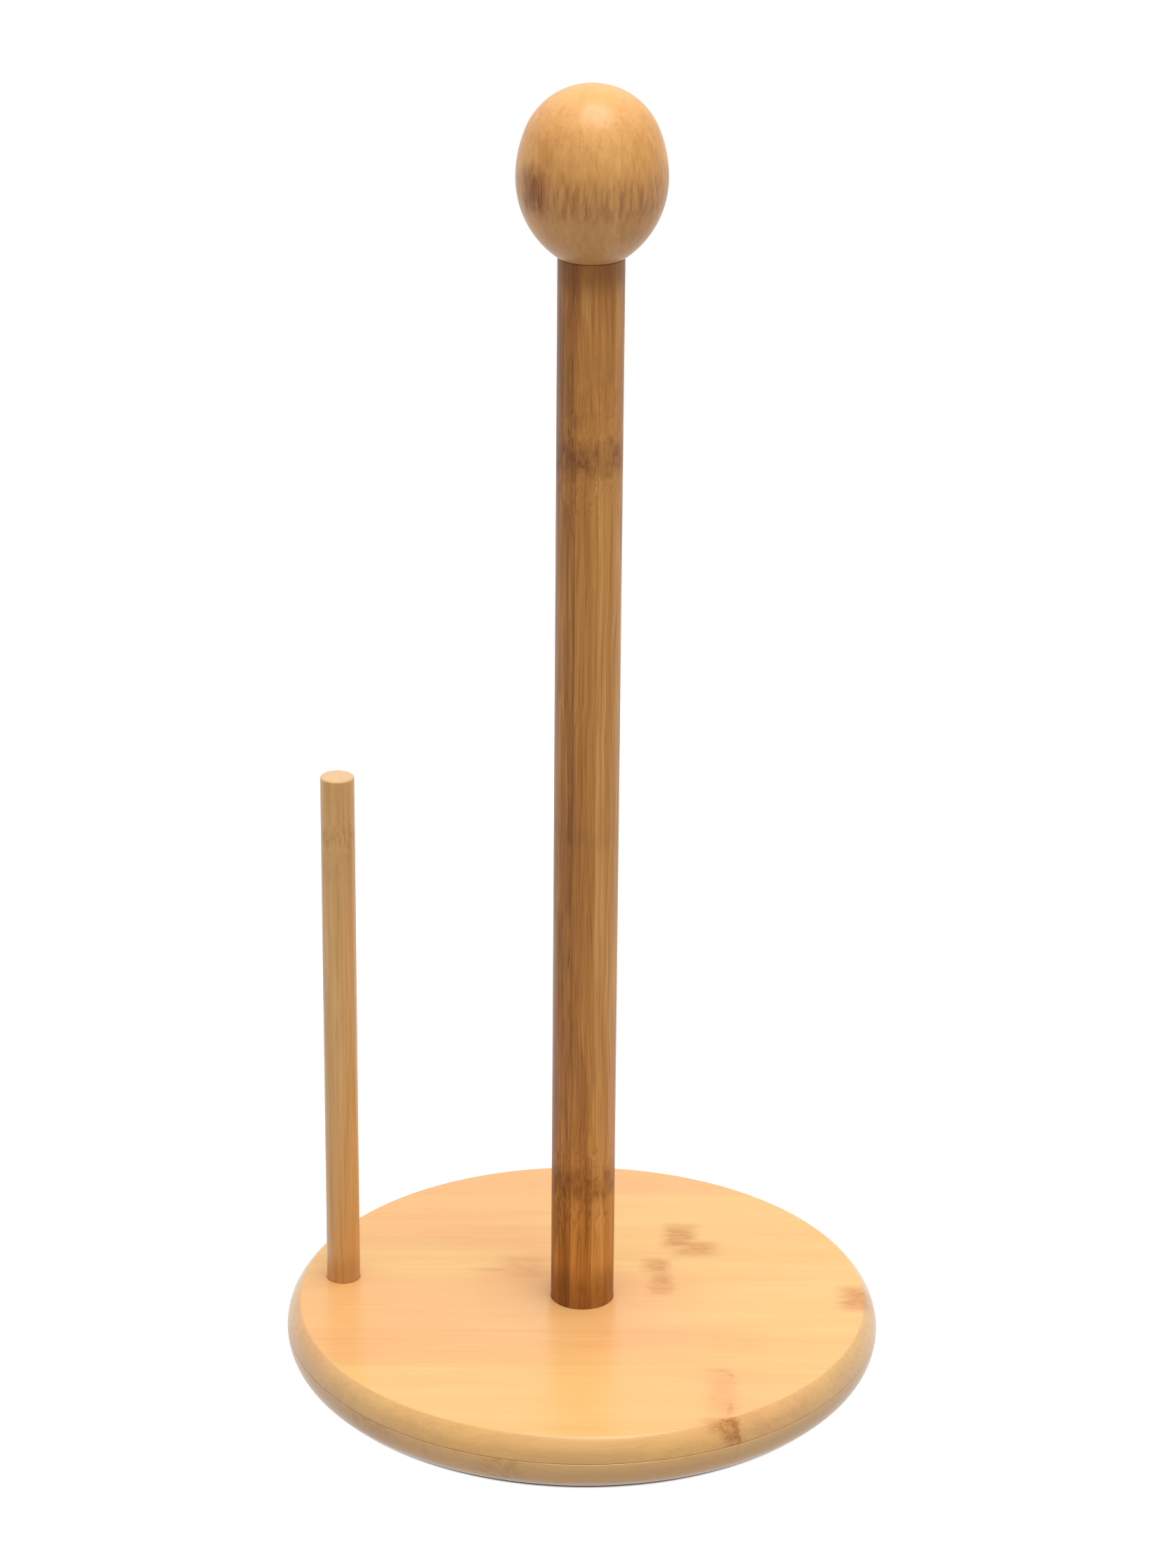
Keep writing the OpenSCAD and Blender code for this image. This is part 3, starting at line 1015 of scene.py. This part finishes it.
brass = metal("insert_brass", [(0.35, "B08A42"), (0.65, "D2AE62")], 0.3, 0.3)
steel = metal("screw_steel", [(0.35, "9C9EA0"), (0.65, "C4C6C8")], 0.28, 0.3)
rubber = rubber_material()

show(base_top_ply(), "base_top_ply", "stand", top_board_bamboo())
show(base_bottom_ply(), "base_bottom_ply", "stand", bottom_board_bamboo())
show(glue_ring(), None, "stand", glue_material())
show(centre_post(), "centre_post", "stand", post_bamboo())
show(side_rod(), "side_rod", "stand", rod_bamboo())
show(knob_egg(), "knob", "knob_grip", knob_bamboo())
show(
    brass_insert("post_insert_brass", post_insert, BOLT_SHANK + GLUE_GAP),
    "post_insert", "stand", brass,
)
show(
    brass_insert("knob_insert_brass", knob_insert, BOLT_SHANK + THREAD_GAP),
    "knob_insert", "knob_lift", brass,
)
show(stud(), "knob_stud", "stand", steel)
show(
    flat_head(
        "post_bolt_m6", post_bolt, shank=BOLT_SHANK, pitch=METRIC_PITCH, depth=METRIC_DEPTH,
        tip_height=METRIC_TIP, tip_radius=BOLT_SHANK - METRIC_TIP, plain=BOLT_PLAIN,
    ),
    "post_bolt", "stand", steel,
)
show(
    flat_head(
        "rod_wood_screw", rod_screw, shank=SCREW_SHANK, pitch=WOOD_PITCH, depth=WOOD_DEPTH,
        tip_height=WOOD_TIP, tip_radius=WOOD_TIP_RADIUS, plain=SCREW_PLAIN,
    ),
    "rod_screw", "stand", steel,
)
for foot_name in FEET:
    show(rubber_foot(foot_name + "_pad", span(foot_name)), foot_name, "stand", rubber)

# ---------------------------------------------------------------- studio

# What the camera and the lamp are turned to
AIM = Vector((0, 0, 0.15))


def plain_material(name, code):
    """The graph of a matt material of one colour."""
    g = MaterialGraph(name)
    g.shader.inputs["Base Color"].default_value = linear(code)
    g.shader.inputs["Roughness"].default_value = 0.9
    g.shader.inputs["Specular IOR Level"].default_value = 0.1
    return g


def plane(name, height, material):
    """A wide level plane."""
    mesh = bmesh.new()
    bmesh.ops.create_grid(mesh, x_segments=1, y_segments=1, size=4)
    piece = finished(name, mesh)
    piece.location.z = height
    piece.data.materials.append(material)
    return piece


def floor():
    """The white sweep that the camera and the lacquer see, lit from within except close to the stand,
    and the grey table whose light reaches the stand from below."""
    edge = upper_ply.radius / MM
    dark_until = edge - 5.8
    bright_from = edge - 4.6
    g = plain_material("white_floor", "707070")
    x, y = g.position()[:2]
    out = g.math("SQRT", g.add(g.times(x, x), g.times(y, y)))
    g.shader.inputs["Emission Color"].default_value = (1, 1, 1, 1)
    g.feed(g.shader.inputs["Emission Strength"], g.fade(out, dark_until, bright_from, 0.0, 0.98))
    sweep = plane("white_floor", 0, g.material)
    sweep.visible_diffuse = False
    table = plane("grey_table", -0.2 * MM, plain_material("grey_table", "C0BCB6").material)
    table.visible_camera = False
    table.visible_glossy = False


def softbox(name, place, target, size, power):
    """A round area light that looks at a point."""
    light = bpy.data.lights.new(name, "AREA")
    light.shape = "DISK"
    light.size = size
    light.energy = power
    lamp = bpy.data.objects.new(name, light)
    bpy.context.scene.collection.objects.link(lamp)
    lamp.location = place
    lamp.rotation_mode = "QUATERNION"
    lamp.rotation_quaternion = (Vector(place) - Vector(target)).to_track_quat("Z", "Y")


def surroundings(below, ahead, ahead_up, behind, top):
    """Soft light from all round: its strength below the horizon, low and high on the camera's side,
    behind the stand and overhead. Each fade runs between two values of the direction's Z or Y."""
    world = bpy.data.worlds.new("studio")
    bpy.context.scene.world = world
    world.use_nodes = True
    g = Graph(world.node_tree)
    side = g.coordinate("Generated")
    front = g.fade(side["Z"], 0.1, 0.45, ahead, ahead_up)
    round_about = g.fade(side["Y"], -0.4, 0.7, front, behind)
    upper = g.fade(side["Z"], 0.6, 0.9, round_about, top)
    shining = g.fade(side["Z"], -0.25, 0.02, below, upper)

    # The camera itself sees plain white
    camera_ray = g.node("ShaderNodeLightPath").outputs["Is Camera Ray"]
    seen = g.node("ShaderNodeMix", {}, {"Factor": camera_ray, "A": shining, "B": 1.0})
    back = world.node_tree.nodes["Background"].inputs
    back["Color"].default_value = (1, 1, 1, 1)
    g.feed(back["Strength"], seen.outputs["Result"])


def camera():
    """The photograph's view: from the front, looking down at the middle of the stand. Angles are in
    radians, and slide is how far the camera is moved to its right and upwards."""
    pitch = 0.3836
    roll = 0.0084
    distance = 1.11835
    slide = (-0.001634, 0.005657)
    ahead = Vector((0, math.cos(pitch), -math.sin(pitch)))
    right = Vector((1, 0, 0))
    up = right.cross(ahead)
    view = bpy.data.cameras.new("view")
    view.sensor_width = 36
    view.lens = 104.74
    lens = bpy.data.objects.new("view", view)
    bpy.context.scene.collection.objects.link(lens)
    rolled_right = right * math.cos(roll) + up * math.sin(roll)
    rolled_up = up * math.cos(roll) - right * math.sin(roll)
    turn = Matrix((rolled_right, rolled_up, -ahead)).transposed()
    lens.matrix_world = Matrix.Translation(
        AIM - ahead * distance + right * slide[0] + up * slide[1]
    ) @ turn.to_4x4()
    bpy.context.scene.camera = lens


floor()
surroundings(below=0.5, ahead=0.3, ahead_up=0.8, behind=0.9, top=0.55)
softbox("overhead", place=(0.18, -0.22, 1.85), target=AIM, size=1.2, power=24)
camera()
bpy.context.scene.view_settings.view_transform = "Standard"
